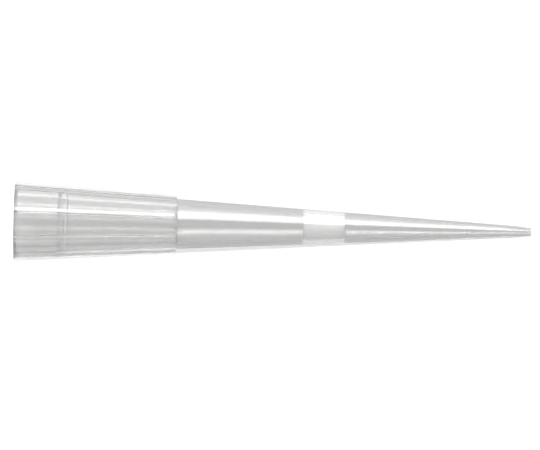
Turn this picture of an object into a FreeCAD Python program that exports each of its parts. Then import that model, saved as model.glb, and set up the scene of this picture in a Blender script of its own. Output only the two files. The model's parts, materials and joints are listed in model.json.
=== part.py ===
import FreeCAD, Part
import math
import os

# A filtered pipette tip, in millimetres.
#
# Two pieces: the moulded tip and the porous plug pressed into its bore. Both are drawn along the tip's
# own axis, which runs from the rim (0) to the orifice, and are then laid on their side. The middle of
# mass is just past the collar, so the tip rests on the far ends of its two lowest ribs and on its nozzle.
# The nozzle points along +X, and Z = 0 is the surface that the tip lies on.
# The origin is the middle of the whole tip's box in X and Y, on that surface.

# ---- driving dimensions ----------------------------------------------------------------------------

TIP_LENGTH = 51.0             # rim to orifice, along the axis

# socket: the bore that goes on a pipette
SOCKET_RADIUS = 2.55          # cylindrical land that seals on the pipette's nozzle
SOCKET_LAND = 0.45            # length of the land
SOCKET_DEPTH = 4.65           # rim to the land
SHOULDER_LENGTH = 0.35        # lead from the mouth down to the land
MOUTH_CLEARANCE = 0.17        # mouth over land, radially, at the shoulder
MOUTH_DRAFT = 0.13            # how much the mouth widens from the shoulder to the lead-in
LEAD_IN = 0.18                # chamfer at the rim, radially
LEAD_IN_DEPTH = 0.28          # and along the axis
RELIEF_LENGTH = 0.16          # step behind the land, along the axis
RELIEF_DEPTH = 0.07           # and radially

# collar: the thick ribbed part outside the socket
COLLAR_LENGTH = 15.86         # rim to the end of the ribs
COLLAR_WALL = 0.57            # at the rim, from the lead-in to the circle that the flats are chords of
COLLAR_END_RADIUS = 2.675     # the same where the collar ends
STEP_LENGTH = 0.22            # chamfer from the ribs' ends down to the shaft

# ribs along the collar, square-topped, with a flat between each two
RIB_COUNT = 8
RIB_HEIGHT = 0.30             # top over the collar's circle
RIB_WIDTH = 0.40              # across the top at the rim
RIB_END_WIDTH = 0.32          # and where the collar ends
RIB_DRAFT = 12.0              # degrees that each side leans in toward the top
RIB_EDGE_ROUND = 0.05         # along both edges of the top
RIB_FOOT_ROUND = 0.10         # where each side meets its flat
FLAT_SHARE = 0.8              # share of the ribs' pitch that each flat spans, as a chord of the circle
RIM_EDGE = 0.06               # chamfer on the ribs' ends at the rim

# shaft: the plain taper from the collar to the nozzle
STEP_DROP = 0.195             # from the collar's end radius to the shaft's top radius
SHAFT_END_RADIUS = 0.63       # where the nozzle starts
SHAFT_END_WALL = 0.30         # wall there

# nozzle: three short tapers down to the orifice
NOZZLE_LENGTH = 2.50
NOZZLE_BEVEL_LENGTH = 1.10    # the steeper taper before the end ring
NOZZLE_RING_LENGTH = 0.26     # the nearly straight ring at the end
NOZZLE_BEVEL_RADIUS = 0.54    # where the bevel starts
NOZZLE_RING_RADIUS = 0.40     # where the ring starts
NOZZLE_END_RADIUS = 0.385
ORIFICE_RADIUS = 0.24

# filter plug
FILTER_START = 28.5           # rim to the plug's upper face
FILTER_LENGTH = 4.10
FILTER_WALL = 0.43            # wall of the shaft at the middle of the plug
FILTER_EDGE = 0.15            # chamfer on both ends of the plug
FILTER_GAP = 0.01             # the plug's grains touch the bore: its mean surface lies this far inside

# ---- sizes that follow -----------------------------------------------------------------------------

mouth_radius = SOCKET_RADIUS + MOUTH_CLEARANCE
mouth_top_radius = mouth_radius + MOUTH_DRAFT
rim_bore_radius = mouth_top_radius + LEAD_IN
rim_radius = rim_bore_radius + COLLAR_WALL

collar_foot = COLLAR_LENGTH + STEP_LENGTH
shaft_top_radius = COLLAR_END_RADIUS - STEP_DROP
nozzle_start = TIP_LENGTH - NOZZLE_LENGTH
ring_start = TIP_LENGTH - NOZZLE_RING_LENGTH
bevel_start = ring_start - NOZZLE_BEVEL_LENGTH
nozzle_outline = [
    (nozzle_start, SHAFT_END_RADIUS),
    (bevel_start, NOZZLE_BEVEL_RADIUS),
    (ring_start, NOZZLE_RING_RADIUS),
    (TIP_LENGTH, NOZZLE_END_RADIUS),
]

land_end = SOCKET_DEPTH + SOCKET_LAND
relief_end = land_end + RELIEF_LENGTH
relief_radius = SOCKET_RADIUS - RELIEF_DEPTH


def along(start, start_radius, end, end_radius, place):
    """The radius at a place on the straight taper between two others."""
    return start_radius + (end_radius - start_radius) * (place - start) / (end - start)


def collar_radius(place):
    """Radius of the circle that the collar's flats are chords of."""
    return along(0, rim_radius, COLLAR_LENGTH, COLLAR_END_RADIUS, place)


def rib_width(place):
    """Width of a rib's top."""
    return along(0, RIB_WIDTH, COLLAR_LENGTH, RIB_END_WIDTH, place)


def shaft_radius(place):
    """Outside radius of the shaft."""
    return along(collar_foot, shaft_top_radius, nozzle_start, SHAFT_END_RADIUS, place)


filter_end = FILTER_START + FILTER_LENGTH
filter_middle = FILTER_START + FILTER_LENGTH / 2
filter_bore_radius = shaft_radius(filter_middle) - FILTER_WALL
nozzle_bore_radius = SHAFT_END_RADIUS - SHAFT_END_WALL


def bore_radius(place):
    """Radius of the long conical bore from the socket through the filter's seat."""
    return along(relief_end, relief_radius, filter_middle, filter_bore_radius, place)


# ---- building along the axis: X is the tip's axis, Y and Z lie across it -----------------------------

def turned(outline):
    """A solid turned about the axis from (place, radius) corners. It closes along the axis."""
    first = outline[0][0]
    last = outline[-1][0]
    corners = [(first, 0)] + outline + [(last, 0), (first, 0)]
    points = [FreeCAD.Vector(place, radius, 0) for place, radius in corners]
    face = Part.Face(Part.makePolygon(points))
    return face.revolve(FreeCAD.Vector(0, 0, 0), FreeCAD.Vector(1, 0, 0), 360)


def point_on_rib(place, out, across, angle):
    """A point so far out along a rib and so far across it. A rib at angle 0 points straight down."""
    sine, cosine = math.sin(angle), math.cos(angle)
    return FreeCAD.Vector(place, out * sine + across * cosine, across * sine - out * cosine)


def rounded(before, corner, after, radius):
    """The start, middle and end of the arc that rounds a corner between two straight edges."""
    back = (before - corner).normalize()
    onward = (after - corner).normalize()
    half = back.getAngle(onward) / 2
    centre = corner + (back + onward).normalize() * (radius / math.sin(half))
    reach = radius / math.tan(half)
    middle = centre + (corner - centre).normalize() * radius
    return corner + back * reach, middle, corner + onward * reach


def rib_foot(place):
    """Where a rib's side meets the flat beside it, before the fillet: how far out, and how far across."""
    half_pitch = math.pi / RIB_COUNT
    sine, cosine = math.sin(half_pitch), math.cos(half_pitch)
    flat = collar_radius(place) * math.cos(FLAT_SHARE * half_pitch)
    lean = math.tan(math.radians(RIB_DRAFT))
    # the side is across = reach - lean * out, and the flat is out * cosine + across * sine = flat
    reach = rib_width(place) / 2 + lean * (collar_radius(place) + RIB_HEIGHT)
    out = (flat - sine * reach) / (cosine - sine * lean)
    return out, reach - lean * out


def ribbed_section(place):
    """The collar's outline at one place along the axis, ribs included, as a closed wire."""
    top = collar_radius(place) + RIB_HEIGHT
    half_top = rib_width(place) / 2
    foot_out, foot_across = rib_foot(place)
    corners = []
    for index in range(RIB_COUNT):
        # half a pitch from straight down, so that the collar stands on two ribs
        angle = (index + 0.5) * 2 * math.pi / RIB_COUNT
        corners.append((point_on_rib(place, foot_out, -foot_across, angle), RIB_FOOT_ROUND))
        corners.append((point_on_rib(place, top, -half_top, angle), RIB_EDGE_ROUND))
        corners.append((point_on_rib(place, top, half_top, angle), RIB_EDGE_ROUND))
        corners.append((point_on_rib(place, foot_out, foot_across, angle), RIB_FOOT_ROUND))
    arcs = []
    for index, (corner, radius) in enumerate(corners):
        before = corners[index - 1][0]
        after = corners[(index + 1) % len(corners)][0]
        arcs.append(rounded(before, corner, after, radius))
    edges = []
    for index, (start, middle, end) in enumerate(arcs):
        previous_end = arcs[index - 1][2]
        edges.append(Part.makeLine(previous_end, start))
        edges.append(Part.Arc(start, middle, end).toShape())
    return Part.Wire(edges)


def make_collar():
    """The ribbed collar, its ribs chamfered lightly at the rim and steeply down to the shaft."""
    ribbed = Part.makeLoft([ribbed_section(0), ribbed_section(collar_foot)], True, True)
    top_at_rim = rim_radius + RIB_HEIGHT
    top_at_end = COLLAR_END_RADIUS + RIB_HEIGHT
    beyond = top_at_rim + RIM_EDGE
    step_slope = STEP_LENGTH / (top_at_end - shaft_top_radius)
    envelope = turned([
        (0, top_at_rim - RIM_EDGE),
        (2 * RIM_EDGE, beyond),
        (COLLAR_LENGTH - step_slope * (beyond - top_at_end), beyond),
        (collar_foot, shaft_top_radius),
    ])
    return ribbed.common(envelope)


def make_shaft():
    """The outside of the shaft and nozzle. It starts inside the collar."""
    inside_collar = COLLAR_LENGTH / 2
    top_of_shaft = [(inside_collar, shaft_top_radius), (collar_foot, shaft_top_radius)]
    return turned(top_of_shaft + nozzle_outline)


def make_bore():
    """Everything hollow, from the lead-in at the rim to the orifice, drawn past both ends."""
    past_rim = -LEAD_IN_DEPTH
    past_end = TIP_LENGTH + NOZZLE_RING_LENGTH
    return turned([
        (past_rim, rim_bore_radius + LEAD_IN),
        (LEAD_IN_DEPTH, mouth_top_radius),
        (SOCKET_DEPTH - SHOULDER_LENGTH, mouth_radius),
        (SOCKET_DEPTH, SOCKET_RADIUS),
        (land_end, SOCKET_RADIUS),
        (relief_end, relief_radius),
        (filter_end, bore_radius(filter_end)),
        (nozzle_start, nozzle_bore_radius),
        (TIP_LENGTH, ORIFICE_RADIUS),
        (past_end, ORIFICE_RADIUS),
    ])


def make_filter():
    """The plug, pressed to the bore's taper, with chamfered ends."""
    def plug_radius(place):
        return bore_radius(place) - FILTER_GAP
    return turned([
        (FILTER_START, plug_radius(FILTER_START) - FILTER_EDGE),
        (FILTER_START + FILTER_EDGE, plug_radius(FILTER_START + FILTER_EDGE)),
        (filter_end - FILTER_EDGE, plug_radius(filter_end - FILTER_EDGE)),
        (filter_end, plug_radius(filter_end) - FILTER_EDGE),
    ])


# ---- laying it down --------------------------------------------------------------------------------

def slope_to_nozzle(rib_place):
    """Slope of the surface that would touch the two lowest ribs at one place, and the nozzle."""
    rib_drop = -ribbed_section(rib_place).optimalBoundingBox(False).ZMin
    return min((rib_drop - radius) / (place - rib_place) for place, radius in nozzle_outline)


def lay_down(shapes):
    """Tilt the axis until the ribs and the nozzle touch Z = 0, and centre the box on X and Y."""
    slope = max(slope_to_nozzle(0), slope_to_nozzle(COLLAR_LENGTH))
    tilt = math.degrees(math.atan(slope))
    laid = []
    for shape in shapes:
        copy = shape.copy()
        copy.rotate(FreeCAD.Vector(0, 0, 0), FreeCAD.Vector(0, 1, 0), tilt)
        laid.append(copy)
    box = laid[0].optimalBoundingBox(False)
    shift = FreeCAD.Vector(-box.Center.x, -box.Center.y, -box.ZMin)
    for shape in laid:
        shape.translate(shift)
    return tilt, shift, laid


def main():
    body = make_collar().fuse(make_shaft()).cut(make_bore()).removeSplitter()
    tilt, shift, (tip_body, filter_plug) = lay_down([body, make_filter()])
    os.makedirs("parts", exist_ok=True)
    for name, shape in (("tip_body", tip_body), ("filter_plug", filter_plug)):
        solid = shape.Solids[0]
        print(name, "valid", shape.isValid(), "solids", len(shape.Solids), "volume", round(solid.Volume, 3))
        print("  box", solid.optimalBoundingBox(False))
        solid.exportStep(f"parts/{name}.step")
    turn = FreeCAD.Rotation(FreeCAD.Vector(0, 1, 0), tilt)
    land_middle = SOCKET_DEPTH + SOCKET_LAND / 2
    print("tilt", round(tilt, 4), "axis out of the mouth", turn.multVec(FreeCAD.Vector(-1, 0, 0)))
    print("middle of the rim", shift, "rim face radius", (rim_radius + rim_bore_radius) / 2)
    print("middle of the socket's land", turn.multVec(FreeCAD.Vector(land_middle, 0, 0)) + shift)
    rest_end = turn.multVec(FreeCAD.Vector(COLLAR_LENGTH, 0, 0)) + shift
    print("middle of mass", tip_body.Solids[0].CenterOfMass, "collar ends at", rest_end)


main()
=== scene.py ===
import json
import math

import bpy
from mathutils import Matrix, Vector


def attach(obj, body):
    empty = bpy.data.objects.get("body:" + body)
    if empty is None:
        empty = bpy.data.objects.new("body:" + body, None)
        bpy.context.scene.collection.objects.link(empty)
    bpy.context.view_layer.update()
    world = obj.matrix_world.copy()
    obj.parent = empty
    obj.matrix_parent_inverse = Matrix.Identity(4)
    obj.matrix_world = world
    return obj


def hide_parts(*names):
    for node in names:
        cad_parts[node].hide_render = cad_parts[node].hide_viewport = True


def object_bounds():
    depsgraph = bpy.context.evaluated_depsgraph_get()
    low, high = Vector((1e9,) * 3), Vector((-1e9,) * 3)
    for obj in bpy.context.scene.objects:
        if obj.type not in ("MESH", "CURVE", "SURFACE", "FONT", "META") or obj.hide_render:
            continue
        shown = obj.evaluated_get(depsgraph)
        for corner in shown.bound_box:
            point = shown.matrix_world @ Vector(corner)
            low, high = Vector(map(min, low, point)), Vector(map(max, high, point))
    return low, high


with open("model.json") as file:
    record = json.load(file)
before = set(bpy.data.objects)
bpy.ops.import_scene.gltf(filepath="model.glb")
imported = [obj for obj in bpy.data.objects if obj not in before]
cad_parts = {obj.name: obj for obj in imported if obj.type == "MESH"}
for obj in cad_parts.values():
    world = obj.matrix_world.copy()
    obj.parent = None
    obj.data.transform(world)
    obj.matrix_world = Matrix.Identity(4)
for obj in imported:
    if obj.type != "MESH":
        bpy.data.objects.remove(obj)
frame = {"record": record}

# A filtered pipette tip lying on its side. The scene is in metres. The tip's own sizes are in millimetres
# along its axis, from the rim (0) to the orifice, and MM turns them into metres.

MM = 0.001
cad_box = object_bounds()

# ---- sizes of the moulding -------------------------------------------------------------------------

TIP_LENGTH = 51.0
SOCKET_RADIUS = 2.55
SOCKET_LAND = 0.45
SOCKET_DEPTH = 4.65
SHOULDER_LENGTH = 0.35
MOUTH_CLEARANCE = 0.17
MOUTH_DRAFT = 0.13
LEAD_IN = 0.18
LEAD_IN_DEPTH = 0.28
RELIEF_LENGTH = 0.16
RELIEF_DEPTH = 0.07
COLLAR_LENGTH = 15.86
COLLAR_WALL = 0.57
COLLAR_END_RADIUS = 2.675
STEP_LENGTH = 0.22
STEP_DROP = 0.195
RIB_COUNT = 8
RIB_HEIGHT = 0.30
RIB_WIDTH = 0.40              # across a rib's top at the rim
RIB_END_WIDTH = 0.32          # and where the collar ends
RIB_DRAFT = 12.0              # degrees that each side of a rib leans in toward its top
RIB_EDGE_ROUND = 0.05
RIB_FOOT_ROUND = 0.10
FLAT_SHARE = 0.8              # share of the ribs' pitch that each flat spans, as a chord of the circle
SHAFT_END_RADIUS = 0.63
SHAFT_END_WALL = 0.30
NOZZLE_LENGTH = 2.50
NOZZLE_BEVEL_LENGTH = 1.10
NOZZLE_RING_LENGTH = 0.26
NOZZLE_BEVEL_RADIUS = 0.54
NOZZLE_RING_RADIUS = 0.40
NOZZLE_END_RADIUS = 0.385
ORIFICE_RADIUS = 0.24
FILTER_START = 28.5
FILTER_LENGTH = 4.10
FILTER_WALL = 0.43
FILTER_EDGE = 0.15
FILTER_GAP = 0.01

CAMERA_DISTANCE = 0.81
CAMERA_LENS = 547.2
CAMERA_ELEVATION = 5.5
CAMERA_ROLL = -2.462
CAMERA_AIM = (-0.15, -1.46)   # how far the view's middle is from the box's middle, to the right and up

EDGE_ROUND = 0.05             # every moulded corner is broken by this much
MOST_OF_RUN = 0.4             # or by this share of the shorter run beside it, where that is less
CORNER_STEPS = 4
RIB_EDGE_STEPS = 4
RIB_FOOT_STEPS = 5
FLAT_STEPS = 7                # columns of the mesh from a rib's foot to the middle of the flat beside it
FLAT_CROWDING = 1.5           # above 1, the columns lie closer together near the foot
ROW_SPACING = 1.3             # between rows of the mesh along a straight taper
NEAR_ROW = 0.03               # from a row at a corner to the next, so that the corner's shading stays crisp
CUT_LEAD = 0.05               # the fine rows start this far before the step
CUT_STEPS = 14                # and cross it in this many steps
UNCUT = 9.0                   # more than any radius, where nothing cuts the ribs off
FILTER_ROW_SPACING = 0.2
FILTER_COLUMNS = 192
INDEX_NUDGE = 0.0001          # keeps a whole number from rounding down to the one below
WELD = 0.0005                 # points nearer than this are one point

mouth_radius = SOCKET_RADIUS + MOUTH_CLEARANCE
mouth_top_radius = mouth_radius + MOUTH_DRAFT
rim_bore_radius = mouth_top_radius + LEAD_IN
rim_radius = rim_bore_radius + COLLAR_WALL
collar_foot = COLLAR_LENGTH + STEP_LENGTH
shaft_top_radius = COLLAR_END_RADIUS - STEP_DROP
nozzle_start = TIP_LENGTH - NOZZLE_LENGTH
ring_start = TIP_LENGTH - NOZZLE_RING_LENGTH
bevel_start = ring_start - NOZZLE_BEVEL_LENGTH
land_end = SOCKET_DEPTH + SOCKET_LAND
relief_end = land_end + RELIEF_LENGTH
relief_radius = SOCKET_RADIUS - RELIEF_DEPTH
filter_end = FILTER_START + FILTER_LENGTH
filter_middle = FILTER_START + FILTER_LENGTH / 2
nozzle_bore_radius = SHAFT_END_RADIUS - SHAFT_END_WALL


def along(start, start_radius, end, end_radius, place):
    """The radius at a place on the straight taper between two others."""
    return start_radius + (end_radius - start_radius) * (place - start) / (end - start)


def shaft_radius(place):
    return along(collar_foot, shaft_top_radius, nozzle_start, SHAFT_END_RADIUS, place)


filter_bore_radius = shaft_radius(filter_middle) - FILTER_WALL


def bore_radius(place):
    return along(relief_end, relief_radius, filter_middle, filter_bore_radius, place)


# ---- where the tip lies ----------------------------------------------------------------------------

def lying():
    """The tip's own axes in the frame: X from the rim to the orifice, as the socket's mount gives them."""
    mounts = {mount["name"]: mount for mount in frame["record"]["mounts"]}
    socket = mounts["pipette_socket"]
    out_of_mouth = Vector(socket["axis"]).normalized()
    rim = Vector(socket["pos_m"]) + out_of_mouth * (SOCKET_DEPTH + SOCKET_LAND / 2) * MM
    forward = -out_of_mouth
    side = Vector((0, 1, 0))
    upward = forward.cross(side)
    turn = Matrix((forward, side, upward)).transposed().to_4x4()
    return Matrix.Translation(rim) @ turn @ Matrix.Scale(MM, 4)


# ---- node trees, written as sums -------------------------------------------------------------------

class Number:
    """A number inside a node tree. Python's own signs join numbers with Math nodes."""

    def __init__(self, recipe, socket):
        self.recipe = recipe
        self.socket = socket

    def __add__(self, other):
        return self.recipe.math("ADD", self, other)

    def __radd__(self, other):
        return self.recipe.math("ADD", other, self)

    def __sub__(self, other):
        return self.recipe.math("SUBTRACT", self, other)

    def __rsub__(self, other):
        return self.recipe.math("SUBTRACT", other, self)

    def __mul__(self, other):
        return self.recipe.math("MULTIPLY", self, other)

    def __rmul__(self, other):
        return self.recipe.math("MULTIPLY", other, self)

    def __truediv__(self, other):
        return self.recipe.math("DIVIDE", self, other)

    def __neg__(self):
        return self.recipe.math("MULTIPLY", self, -1.0)

    def floor(self):
        return self.recipe.math("FLOOR", self)

    def modulo(self, other):
        return self.recipe.math("MODULO", self, other)

    def sine(self):
        return self.recipe.math("SINE", self)

    def cosine(self):
        return self.recipe.math("COSINE", self)

    def least(self, other):
        return self.recipe.math("MINIMUM", self, other)

    def most(self, other):
        return self.recipe.math("MAXIMUM", self, other)


class Recipe:
    """A node tree with short ways to add nodes, join them and do sums."""

    def __init__(self, tree):
        self.tree = tree

    def node(self, kind, inputs=None, **settings):
        made = self.tree.nodes.new(kind)
        for name, value in settings.items():
            setattr(made, name, value)
        for key, value in (inputs or {}).items():
            self.feed(made.inputs[key], value)
        return made

    def feed(self, socket, value):
        if isinstance(value, Number):
            value = value.socket
        if isinstance(value, bpy.types.NodeSocket):
            self.tree.links.new(value, socket)
        else:
            socket.default_value = value

    def math(self, operation, *numbers):
        made = self.node("ShaderNodeMath", operation=operation)
        for socket, number in zip(made.inputs, numbers):
            self.feed(socket, number)
        return Number(self, made.outputs[0])

    def number(self, socket):
        return Number(self, socket)


class Rule(Recipe):
    """A Geometry Nodes tree that builds one piece, with its sizes as named inputs."""

    def __init__(self, name):
        super().__init__(bpy.data.node_groups.new(name, "GeometryNodeTree"))
        self.tree.interface.new_socket("Geometry", in_out="INPUT", socket_type="NodeSocketGeometry")
        self.tree.interface.new_socket("Geometry", in_out="OUTPUT", socket_type="NodeSocketGeometry")
        self.given = self.node("NodeGroupInput")
        self.result = self.node("NodeGroupOutput")
        self.values = {}

    def input(self, name, value, kind="NodeSocketFloat"):
        """A named size of the tree, with the value that its modifier gets."""
        socket = self.tree.interface.new_socket(name, in_out="INPUT", socket_type=kind)
        self.values[socket.identifier] = value
        return self.number(self.given.outputs[name])

    def listed(self, name, index):
        """A value that the outline's points carry, read at an index."""
        carried = self.node("GeometryNodeInputNamedAttribute", {"Name": name}, data_type="FLOAT")
        sampled = self.node("GeometryNodeSampleIndex", {
            "Geometry": self.given.outputs["Geometry"],
            "Value": carried.outputs["Attribute"],
            "Index": index,
        }, data_type="FLOAT", domain="POINT")
        return self.number(sampled.outputs[0])

    def grid(self, columns, rows):
        """A closed sheet's faces, and the column and row of each of its points."""
        sheet = self.node("GeometryNodeMeshGrid", {"Vertices X": columns, "Vertices Y": rows})
        index = self.number(self.node("GeometryNodeInputIndex").outputs[0])
        column = (index / rows + INDEX_NUDGE).floor()
        return sheet.outputs["Mesh"], column, index.modulo(rows)

    def wrapped(self, sheet, place, radius, angle):
        """The sheet turned about the axis at a radius, closed and smooth. Angle 0 is straight down."""
        spot = self.node("ShaderNodeCombineXYZ", {
            "X": place, "Y": radius * angle.sine(), "Z": -(radius * angle.cosine()),
        })
        turned = self.node("GeometryNodeSetPosition", {"Geometry": sheet, "Position": spot.outputs[0]})
        welded = self.node("GeometryNodeMergeByDistance", {"Geometry": turned.outputs[0], "Distance": WELD})
        return self.node("GeometryNodeSetShadeSmooth", {"Geometry": welded.outputs[0]}).outputs[0]

    def keep(self, geometry, name, value):
        """The geometry with a value kept on its points, for its finish to read."""
        return self.node("GeometryNodeStoreNamedAttribute", {
            "Geometry": geometry, "Name": name, "Value": value,
        }, data_type="FLOAT", domain="POINT").outputs[0]

    def finish(self, geometry, material):
        """Realize Instances and Set Material, as the last two steps of every tree."""
        realized = self.node("GeometryNodeRealizeInstances", {"Geometry": geometry})
        painted = self.node("GeometryNodeSetMaterial", {
            "Geometry": realized.outputs[0], "Material": material,
        })
        self.feed(self.result.inputs["Geometry"], painted.outputs[0])


def grown(name, outline, rule, material):
    """A plain mesh object from an outline's points and the rule that turns them into a piece."""
    points = bpy.data.meshes.new(name + "_outline")
    points.from_pydata([(row["place"], 0, row["radius"]) for row in outline], [], [])
    for key in outline[0]:
        values = points.attributes.new(key, "FLOAT", "POINT")
        values.data.foreach_set("value", [float(row[key]) for row in outline])
    holder = bpy.data.objects.new(name + "_rule", points)
    bpy.context.scene.collection.objects.link(holder)
    modifier = holder.modifiers.new("rule", "NODES")
    modifier.node_group = rule.tree
    for identifier, value in rule.values.items():
        modifier[identifier] = value
    depsgraph = bpy.context.evaluated_depsgraph_get()
    mesh = bpy.data.meshes.new_from_object(holder.evaluated_get(depsgraph), depsgraph=depsgraph)
    holder.modifiers.remove(modifier)
    bpy.data.objects.remove(holder)
    mesh.name = name
    mesh.transform(lying())
    mesh.materials.clear()
    mesh.materials.append(material)
    piece = bpy.data.objects.new(name, mesh)
    bpy.context.scene.collection.objects.link(piece)
    return piece


# ---- outlines --------------------------------------------------------------------------------------

def softened(corners, round_by):
    """The outline with every corner between its ends rounded."""
    points = [corners[0]]
    for before, corner, after in zip(corners, corners[1:], corners[2:]):
        here, back, on = Vector(corner), Vector(before), Vector(after)
        shorter_run = min((back - here).length, (on - here).length)
        reach = min(round_by, shorter_run * MOST_OF_RUN)
        start = here + (back - here).normalized() * reach
        end = here + (on - here).normalized() * reach
        for step in range(CORNER_STEPS + 1):
            share = step / CORNER_STEPS
            points.append(tuple(start.lerp(here, share).lerp(here.lerp(end, share), share)))
    return points + [corners[-1]]


def spaced(points, spacing):
    """The same line with more points on its long straight runs, and one close to each of their ends.

    Runs under a quarter of the spacing stay as they are."""
    line = [points[0]]
    for start, end in zip(points, points[1:]):
        length = math.dist(start, end)
        if length > spacing / 4:
            near = min(NEAR_ROW, length / 8) / length
            count = max(1, round(length / spacing))
            shares = [near] + [n / count for n in range(1, count)] + [1 - near]
            line += [tuple(Vector(start).lerp(Vector(end), share)) for share in shares]
        line.append(end)
    return line


def collar_rows():
    """The collar's outside: its circle, how far the rim's edge drops, and the cone that cuts the ribs off."""
    crest_at_end = COLLAR_END_RADIUS + RIB_HEIGHT
    slope = (shaft_top_radius - crest_at_end) / STEP_LENGTH
    rows = []
    for step in range(CORNER_STEPS + 1):
        lean = math.radians(90 * step / CORNER_STEPS)
        place = EDGE_ROUND * (1 - math.cos(lean))
        rows.append((place, EDGE_ROUND * (1 - math.sin(lean))))
    count = round(COLLAR_LENGTH / ROW_SPACING)
    cut_start = COLLAR_LENGTH - CUT_LEAD
    rows += [(2 * EDGE_ROUND, 0.0)]
    rows += [(cut_start * n / count, 0.0) for n in range(1, count + 1)]
    cut_length = collar_foot - cut_start
    rows += [(cut_start + cut_length * n / CUT_STEPS, 0.0) for n in range(1, CUT_STEPS)]
    made = []
    for place, drop in rows:
        radius = along(0, rim_radius, COLLAR_LENGTH, COLLAR_END_RADIUS, place)
        limit = crest_at_end + slope * (place - COLLAR_LENGTH) if place >= cut_start else UNCUT
        made.append({
            "place": place, "radius": radius, "drop": drop, "limit": limit, "ribbed": 1, "inside": 0,
        })
    return made


def plain_rows(points, inside):
    """A turned stretch with no ribs."""
    return [{
        "place": place, "radius": radius, "drop": 0, "limit": UNCUT, "ribbed": 0, "inside": inside,
    } for place, radius in points]


def tip_outline():
    """All round the moulding's wall: out along the collar, shaft and nozzle, and back along the bore."""
    shaft = [
        (collar_foot, shaft_top_radius),
        (nozzle_start, SHAFT_END_RADIUS),
        (bevel_start, NOZZLE_BEVEL_RADIUS),
        (ring_start, NOZZLE_RING_RADIUS),
        (TIP_LENGTH, NOZZLE_END_RADIUS),
        (TIP_LENGTH, (NOZZLE_END_RADIUS + ORIFICE_RADIUS) / 2),
    ]
    bore = [
        shaft[-1],
        (TIP_LENGTH, ORIFICE_RADIUS),
        (nozzle_start, nozzle_bore_radius),
        (filter_end, bore_radius(filter_end)),
        (relief_end, relief_radius),
        (land_end, SOCKET_RADIUS),
        (SOCKET_DEPTH, SOCKET_RADIUS),
        (SOCKET_DEPTH - SHOULDER_LENGTH, mouth_radius),
        (LEAD_IN_DEPTH, mouth_top_radius),
        (0, rim_bore_radius),
        (0, rim_bore_radius + COLLAR_WALL / 2),
    ]
    outside = plain_rows(spaced(softened(shaft, EDGE_ROUND), ROW_SPACING), 0)
    inside = plain_rows(spaced(softened(bore, EDGE_ROUND), ROW_SPACING), 1)
    return collar_rows() + outside + inside[1:]


# ---- the moulding ----------------------------------------------------------------------------------

def rounded(before, corner, after, radius, steps):
    """An arc in place of a corner."""
    here, back, on = Vector(corner), Vector(before), Vector(after)
    into = (here - back).normalized()
    away = (on - here).normalized()
    bend = into.angle(away)
    reach = radius * math.tan(bend / 2)
    inward = (away - into).normalized()
    centre = here + inward * (radius / math.cos(bend / 2))
    start = here - into * reach - centre
    end = here + away * reach - centre
    arc = []
    for step in range(steps + 1):
        share = step / steps
        spoke = start * math.sin((1 - share) * bend) + end * math.sin(share * bend)
        arc.append(tuple(centre + spoke / math.sin(bend)))
    return arc


def half_rib(place):
    """Half a pitch of the collar's section, from the middle of a rib's top to the middle of the next flat.

    The first number runs outward along the rib, the second across it."""
    body_radius = along(0, rim_radius, COLLAR_LENGTH, COLLAR_END_RADIUS, place)
    half_width = along(0, RIB_WIDTH, COLLAR_LENGTH, RIB_END_WIDTH, place) / 2
    half_pitch = math.pi / RIB_COUNT
    top = body_radius + RIB_HEIGHT
    flat = body_radius * math.cos(FLAT_SHARE * half_pitch)
    lean = math.tan(math.radians(RIB_DRAFT))
    # the side is across = reach - lean * out, and the flat is out * cosine + across * sine = flat
    cosine, sine = math.cos(half_pitch), math.sin(half_pitch)
    reach = half_width + lean * top
    foot_out = (flat - sine * reach) / (cosine - sine * lean)
    foot = (foot_out, reach - lean * foot_out)
    middle = (flat * cosine, flat * sine)
    edge = (top, half_width)
    edge_arc = rounded((top, 0), edge, foot, RIB_EDGE_ROUND, RIB_EDGE_STEPS)
    foot_arc = rounded(edge, foot, middle, RIB_FOOT_ROUND, RIB_FOOT_STEPS)
    line = [(top, 0), (top, half_width / 2)]
    line += edge_arc
    line += [tuple(Vector(edge_arc[-1]).lerp(Vector(foot_arc[0]), 0.5))]
    line += foot_arc
    for step in range(1, FLAT_STEPS + 1):
        share = (step / FLAT_STEPS) ** FLAT_CROWDING
        line.append(tuple(Vector(foot_arc[-1]).lerp(Vector(middle), share)))
    return line


def section_columns():
    """Each column of the mesh across one pitch: where it lies at the rim and at the collar's far end, its
    angle where there are no ribs, and whether it is on the rib's crest."""
    half = list(zip(half_rib(0), half_rib(collar_foot)))
    mirrored = [((near[0], -near[1]), (far[0], -far[1])) for near, far in reversed(half)]
    columns = []
    for (near_out, near_across), (far_out, far_across) in mirrored[:-1] + half[:-1]:
        columns.append({
            "near_out": near_out,
            "near_across": near_across,
            "far_out": far_out,
            "far_across": far_across,
            "own_angle": math.atan2(near_across + far_across, near_out + far_out),
            "crest": float(near_out > rim_radius + RIB_HEIGHT - RIB_EDGE_ROUND),
        })
    return columns


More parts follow.
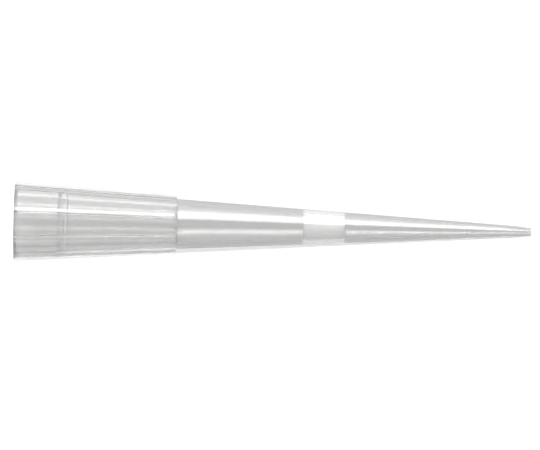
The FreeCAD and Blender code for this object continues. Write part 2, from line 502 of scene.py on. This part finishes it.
def tip_rule(rows, columns, material):
    """The outline turned about the axis, with the ribbed section along the collar."""
    rule = Rule("turned_tip_with_ribs")
    ribs = rule.input("Ribs", RIB_COUNT, "NodeSocketInt")
    columns_per_rib = rule.input("Columns per rib", columns, "NodeSocketInt")
    row_count = rule.input("Rows", rows, "NodeSocketInt")
    collar_length = rule.input("Collar length", collar_foot)

    column_count = ribs * columns_per_rib
    sheet, column, row = rule.grid(column_count + 1.0, row_count + 1.0)
    column = column.modulo(column_count)
    row = row.modulo(row_count)
    rib = (column / columns_per_rib + INDEX_NUDGE).floor()
    # the section's columns follow the outline's rows in the same list of points
    section = row_count + column.modulo(columns_per_rib)

    place = rule.listed("place", row)
    taper = place / collar_length
    near_out, far_out = rule.listed("near_out", section), rule.listed("far_out", section)
    near_across, far_across = rule.listed("near_across", section), rule.listed("far_across", section)
    out = near_out + taper * (far_out - near_out)
    across = near_across + taper * (far_across - near_across)

    ribbed = rule.listed("ribbed", row)
    reach = rule.math("SQRT", out * out + across * across).least(rule.listed("limit", row))
    radius = ribbed * reach + (1.0 - ribbed) * rule.listed("radius", row) - rule.listed("drop", row)
    own_angle = rule.listed("own_angle", section)
    bearing = ribbed * rule.math("ARCTAN2", across, out) + (1.0 - ribbed) * own_angle
    angle = (rib + 0.5) * math.tau / ribs + bearing

    # the points are numbered anew when the sheet is closed, so what they carry is set before
    sheet = rule.keep(sheet, "along", place)
    sheet = rule.keep(sheet, "inside", rule.listed("inside", row))
    sheet = rule.keep(sheet, "crest", ribbed * rule.listed("crest", section))
    rule.finish(rule.wrapped(sheet, place, radius, angle), material)
    return rule


def make_tip(material):
    rows = tip_outline()
    columns = section_columns()
    keys = list(rows[0]) + list(columns[0])
    listed = [{key: point.get(key, 0.0) for key in keys} for point in rows + columns]
    rule = tip_rule(len(rows), len(columns), material)
    return grown("moulded_tip", listed, rule, material)


# ---- the filter ------------------------------------------------------------------------------------

def plug_radius(place):
    return bore_radius(place) - FILTER_GAP


def make_filter(material):
    outline = [
        (FILTER_START, 0.0),
        (FILTER_START, plug_radius(FILTER_START) - FILTER_EDGE),
        (FILTER_START + FILTER_EDGE, plug_radius(FILTER_START + FILTER_EDGE)),
        (filter_end - FILTER_EDGE, plug_radius(filter_end - FILTER_EDGE)),
        (filter_end, plug_radius(filter_end) - FILTER_EDGE),
        (filter_end, 0.0),
    ]
    line = spaced(softened(outline, EDGE_ROUND), FILTER_ROW_SPACING)
    rows = [{"place": place, "radius": radius} for place, radius in line]
    rule = Rule("turned_plug")
    row_count = rule.input("Rows", len(rows), "NodeSocketInt")
    column_count = rule.input("Columns", FILTER_COLUMNS, "NodeSocketInt")
    sheet, column, row = rule.grid(column_count + 1.0, row_count)
    angle = column.modulo(column_count) / column_count * math.tau
    turned = rule.wrapped(sheet, rule.listed("place", row), rule.listed("radius", row), angle)
    rule.finish(turned, material)
    return grown("filter", rows, rule, material)


# ---- finishes --------------------------------------------------------------------------------------

OUTSIDE_TINT = 0.64           # how much light each surface lets through: the shaft's outside,
BORE_TINT = 0.88              # its bore,
COLLAR_TINT = 0.76            # both surfaces of the collar,
PLUG_WALL_LIT_TINT = 0.94         # and the outside over the filter, where the bore takes nothing: both are left clearer there as painted light, so that the filter shows brighter
PLASTIC_WARMTH = 0.995        # what the plastics keep of blue
PLASTIC_CLARITY = 0.95        # the rest is milky
PLASTIC_ROUGHNESS = 0.14
COLLAR_ROUGHNESS = 0.25       # the collar's outside is rougher
PLASTIC_IOR = 1.49
FLOW_TONE = 0.03              # how far the melt's flow lines change the tint
FLOW_HAZE = 0.05              # and the roughness
FLOW_SCALE = 1400.0           # flow lines to a metre across the tip
FLOW_STRETCH = 0.05           # the same along the tip, as a share of that
BORE_GLOSS = 1.0              # how much gloss lies over the plastic: in the shaft's bore,
SOCKET_GLOSS = 0.1            # in the collar's bore,
CREST_GLOSS = 0.7             # and on the ribs' crests
GLOSS_ROUGHNESS = 0.12
GLOSS_IOR = 1.8
ZONE_EDGE = 0.1               # how softly the collar's finish gives way to the shaft's
PLUG_ZONE_EDGE = 0.06         # the same at both ends of the filter
LINE_EDGE = 0.04              # and at both sides of a line
PLUG_WHITE = 0.97
PLUG_ROUGHNESS = 0.9
PLUG_SHINE = 0.2              # a plain smooth plastic has 0.5
PLUG_GLOW = 1.0               # share of the light that goes in among the filter's grains
PLUG_DEPTH = 0.004            # and about how far it goes, in metres
GRAIN_SCALE = 6500.0          # fused grains of the filter to a metre
GRAIN_SHADE = 0.06            # how much darker the filter is between its grains
GRAIN_BUMP = 0.35
GRAIN_HEIGHT = 0.00003
# painted lines round the bore at the steps of the socket's ring: the darker ones are painted shade and the
# one of tint 1.0 is a painted highlight, in place of how the steps bend light: place, width and tint
PAINTED_RING_LINES = [
    (SOCKET_DEPTH - SHOULDER_LENGTH, 0.16, 0.66),
    (SOCKET_DEPTH + SOCKET_LAND / 2, 0.12, 0.60),
    (land_end, 0.16, 1.0),
    (relief_end, 0.10, 0.55),
]


class Finish(Recipe):
    """A material built round one Principled shader."""

    def __init__(self, name, **plain):
        self.material = bpy.data.materials.new(name)
        self.material.use_nodes = True
        super().__init__(self.material.node_tree)
        self.shader = self.tree.nodes["Principled BSDF"]
        self.set(**plain)

    def set(self, **inputs):
        for key, value in inputs.items():
            self.feed(self.shader.inputs[key.replace("_", " ")], value)

    def carried(self, name):
        """A number that the piece's own points carry."""
        return self.number(self.node("ShaderNodeAttribute", attribute_name=name).outputs["Fac"])

    def tone(self, number, warmth):
        """A grey, with its blue held back by the warmth."""
        made = self.node("ShaderNodeCombineColor", {"Red": number, "Green": number, "Blue": number * warmth})
        return made.outputs[0]

    def spot(self, stretch=1.0):
        """Where a point is on its piece, with the pattern drawn out along the tip."""
        place = self.node("ShaderNodeTexCoord").outputs["Object"]
        return self.node("ShaderNodeMapping", {"Vector": place, "Scale": (stretch, 1.0, 1.0)}).outputs[0]

    def between(self, value, start, end, soft):
        """1 between two values, with soft ends, and 0 outside them."""
        rise = self.node("ShaderNodeMapRange", {
            "Value": value, "From Min": start - soft, "From Max": start + soft,
        }, interpolation_type="SMOOTHSTEP")
        fall = self.node("ShaderNodeMapRange", {
            "Value": value, "From Min": end - soft, "From Max": end + soft,
        }, interpolation_type="SMOOTHSTEP")
        return self.number(rise.outputs[0]) - self.number(fall.outputs[0])


def clear_polypropylene():
    """Natural polypropylene: a little grey and milky, matt between the ribs, polished on their crests and
    in the bore."""
    finish = Finish("clear_polypropylene", Transmission_Weight=PLASTIC_CLARITY, IOR=PLASTIC_IOR,
                    Coat_Roughness=GLOSS_ROUGHNESS, Coat_IOR=GLOSS_IOR)
    place = finish.carried("along")
    inside = finish.carried("inside")
    outside = 1.0 - inside
    # painted light: the wall over the filter, which is made clearer there so that the filter behind it shows
    # brighter
    painted_light_over_plug = finish.between(place, FILTER_START, filter_end, PLUG_ZONE_EDGE)
    past_collar = finish.between(place, collar_foot, 2 * TIP_LENGTH, ZONE_EDGE)
    on_collar = 1.0 - past_collar

    tint = on_collar * COLLAR_TINT + past_collar * (outside * OUTSIDE_TINT + inside * BORE_TINT)
    # painted light: a clearer wall over the filter, on its outside and in its bore
    tint = tint + painted_light_over_plug * (outside * (PLUG_WALL_LIT_TINT - OUTSIDE_TINT) + inside * (1.0 - BORE_TINT))
    # painted shade and painted highlight lines round the bore, at the steps of the socket's ring
    for line_place, line_width, painted_ring_tint in PAINTED_RING_LINES:
        line = finish.between(place, line_place - line_width / 2, line_place + line_width / 2, LINE_EDGE)
        tint = tint + line * inside * (painted_ring_tint - COLLAR_TINT)
    lines = finish.node("ShaderNodeTexNoise", {"Vector": finish.spot(FLOW_STRETCH), "Scale": FLOW_SCALE})
    flow = finish.number(lines.outputs["Fac"]) - 0.5
    finish.set(Base_Color=finish.tone(tint + flow * FLOW_TONE, PLASTIC_WARMTH))
    roughness = PLASTIC_ROUGHNESS + on_collar * outside * (COLLAR_ROUGHNESS - PLASTIC_ROUGHNESS)
    finish.set(Roughness=roughness + flow * FLOW_HAZE)
    bore_gloss = inside * (on_collar * SOCKET_GLOSS + past_collar * BORE_GLOSS)
    finish.set(Coat_Weight=bore_gloss + finish.carried("crest") * CREST_GLOSS)
    return finish.material


def porous_polyethylene():
    """White polyethylene grains, fused where they touch, with a shade in the gaps between them."""
    finish = Finish("porous_polyethylene", Roughness=PLUG_ROUGHNESS, Specular_IOR_Level=PLUG_SHINE,
                    Subsurface_Weight=PLUG_GLOW, Subsurface_Scale=PLUG_DEPTH,
                    Subsurface_Radius=(1.0, 1.0, 1.0))
    cells = finish.node("ShaderNodeTexVoronoi", {"Vector": finish.spot(), "Scale": GRAIN_SCALE})
    gap = finish.number(cells.outputs["Distance"])
    finish.set(Base_Color=finish.tone(PLUG_WHITE - gap * GRAIN_SHADE, PLASTIC_WARMTH))
    grains = finish.node("ShaderNodeBump", {
        "Height": 1.0 - gap, "Strength": GRAIN_BUMP, "Distance": GRAIN_HEIGHT,
    })
    finish.set(Normal=grains.outputs[0])
    return finish.material


# ---- studio ----------------------------------------------------------------------------------------

FLOOR_REACH = 1.5             # metres from the tip to the floor's edge
FLOOR_TONE = 0.5
FLOOR_GLOW = 0.6              # what the floor adds for the camera alone, so that paper white is white,
THROUGH_GLOW = 0.22           # what it adds for gloss and for what shows through the plastic,
FAR_GLOW = 0.4                # and what it adds to both for each metre from the tip, where lamps reach less
FLOOR_SEEN = 0.95             # how pale gloss and the plastic would show the floor with no shadow on it
SHADE_SEEN = 0.22             # share of the tip's own shadow that they show
SEEN_WHITE = 1.0              # how pale they show the room above the floor
AMBIENT = 0.3                 # plain light from all round

# each softbox: its lower and upper edge, in degrees over the tip from the camera's side, and its radiance
SOFTBOXES = [
    ("front", 31.0, 45.0, 4.6),
    ("key", 45.0, 68.0, 10.0),
    ("top", 68.0, 97.0, 2.3),
    ("back", 98.0, 120.0, 0.5),
]
LAMP_WIDTH = 28.0             # degrees that every softbox spans along the tip
LAMP_DISTANCE = 1.0

SENSOR_WIDTH = 36.0
NEAREST_SEEN = 0.01
FARTHEST_SEEN = 10.0


def paper_floor():
    """White paper that takes the tip's shadow. Gloss and the plastic show it evenly white, with a share of
    that shadow."""
    paper = Finish("white_paper", Base_Color=(FLOOR_TONE, FLOOR_TONE, FLOOR_TONE, 1), Roughness=1.0,
                   Specular_IOR_Level=0.0)
    rays = paper.node("ShaderNodeLightPath")
    straight = paper.number(rays.outputs["Is Camera Ray"])
    through = paper.number(rays.outputs["Is Glossy Ray"]).most(rays.outputs["Is Transmission Ray"])
    away = paper.node("ShaderNodeVectorMath", {0: paper.spot()}, operation="LENGTH")
    far = paper.number(away.outputs["Value"]) * FAR_GLOW
    glow = paper.node("ShaderNodeEmission", {
        "Strength": straight * (far + FLOOR_GLOW) + through * (far + THROUGH_GLOW),
    })
    lit = paper.node("ShaderNodeAddShader", {0: paper.shader.outputs[0], 1: glow.outputs[0]})
    even = paper.node("ShaderNodeEmission", {"Strength": FLOOR_SEEN})
    shown = paper.node("ShaderNodeMixShader", {
        0: through * (1.0 - SHADE_SEEN), 1: lit.outputs[0], 2: even.outputs[0],
    })
    paper.feed(paper.tree.nodes["Material Output"].inputs["Surface"], shown.outputs[0])
    paper.material.cycles.emission_sampling = "NONE"
    return paper.material


def make_floor():
    mesh = bpy.data.meshes.new("floor")
    corners = [(x * FLOOR_REACH, y * FLOOR_REACH, 0) for x, y in ((-1, -1), (1, -1), (1, 1), (-1, 1))]
    mesh.from_pydata(corners, [], [(0, 1, 2, 3)])
    mesh.materials.append(paper_floor())
    floor = bpy.data.objects.new("floor", mesh)
    bpy.context.scene.collection.objects.link(floor)


def make_world():
    """Plain light from all round. The camera, gloss and the plastic show it white."""
    world = bpy.data.worlds.new("studio")
    bpy.context.scene.world = world
    world.use_nodes = True
    sky = Recipe(world.node_tree)
    rays = sky.node("ShaderNodeLightPath")
    seen = sky.number(rays.outputs["Is Camera Ray"]).most(rays.outputs["Is Glossy Ray"])
    seen = seen.most(rays.outputs["Is Transmission Ray"])
    sky.feed(world.node_tree.nodes["Background"].inputs["Color"], (1, 1, 1, 1))
    sky.feed(world.node_tree.nodes["Background"].inputs["Strength"], AMBIENT + seen * (SEEN_WHITE - AMBIENT))


def softbox(name, lower, upper, radiance):
    """A soft lamp between two elevations, as seen from the tip."""
    across = 2 * LAMP_DISTANCE * math.tan(math.radians(upper - lower) / 2)
    wide = 2 * LAMP_DISTANCE * math.tan(math.radians(LAMP_WIDTH) / 2)
    data = bpy.data.lights.new(name, "AREA")
    data.shape = "RECTANGLE"
    data.size = wide
    data.size_y = across
    data.energy = radiance * math.pi * wide * across    # what such a lamp gives off on its one side
    lamp = bpy.data.objects.new(name, data)
    bpy.context.scene.collection.objects.link(lamp)
    lean = math.radians((lower + upper) / 2)
    back = Vector((0, -math.cos(lean), math.sin(lean)))
    right = Vector((1, 0, 0))
    turn = Matrix((right, back.cross(right), back)).transposed().to_4x4()
    low, high = cad_box
    lamp.matrix_world = Matrix.Translation((low + high) / 2 + back * LAMP_DISTANCE) @ turn


def make_lamps():
    for name, lower, upper, radiance in SOFTBOXES:
        softbox(name, lower, upper, radiance)


def make_camera():
    """Far off and long, so that the tip's taper is true, and turned so that the tip lies nearly level."""
    data = bpy.data.cameras.new("camera")
    data.sensor_width = SENSOR_WIDTH
    data.lens = CAMERA_LENS
    data.clip_start = NEAREST_SEEN
    data.clip_end = FARTHEST_SEEN
    camera = bpy.data.objects.new("camera", data)
    bpy.context.scene.collection.objects.link(camera)
    elevation = math.radians(CAMERA_ELEVATION)
    back = Vector((0, -math.cos(elevation), math.sin(elevation)))
    right = Vector((1, 0, 0))
    up = back.cross(right)
    low, high = cad_box
    middle = (low + high) / 2 + right * CAMERA_AIM[0] * MM + up * CAMERA_AIM[1] * MM
    turn = Matrix((right, up, back)).transposed().to_4x4()
    roll = Matrix.Rotation(math.radians(CAMERA_ROLL), 4, "Z")
    camera.matrix_world = Matrix.Translation(middle + back * CAMERA_DISTANCE) @ turn @ roll
    bpy.context.scene.camera = camera


def main():
    make_camera()
    clear = clear_polypropylene()
    white = porous_polyethylene()
    tip = make_tip(clear)
    plug = make_filter(white)
    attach(tip, "root")
    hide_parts("tip_body")
    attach(plug, "root")
    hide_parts("filter_plug")
    make_floor()
    make_world()
    make_lamps()
    bpy.context.scene.view_settings.view_transform = "Standard"


main()
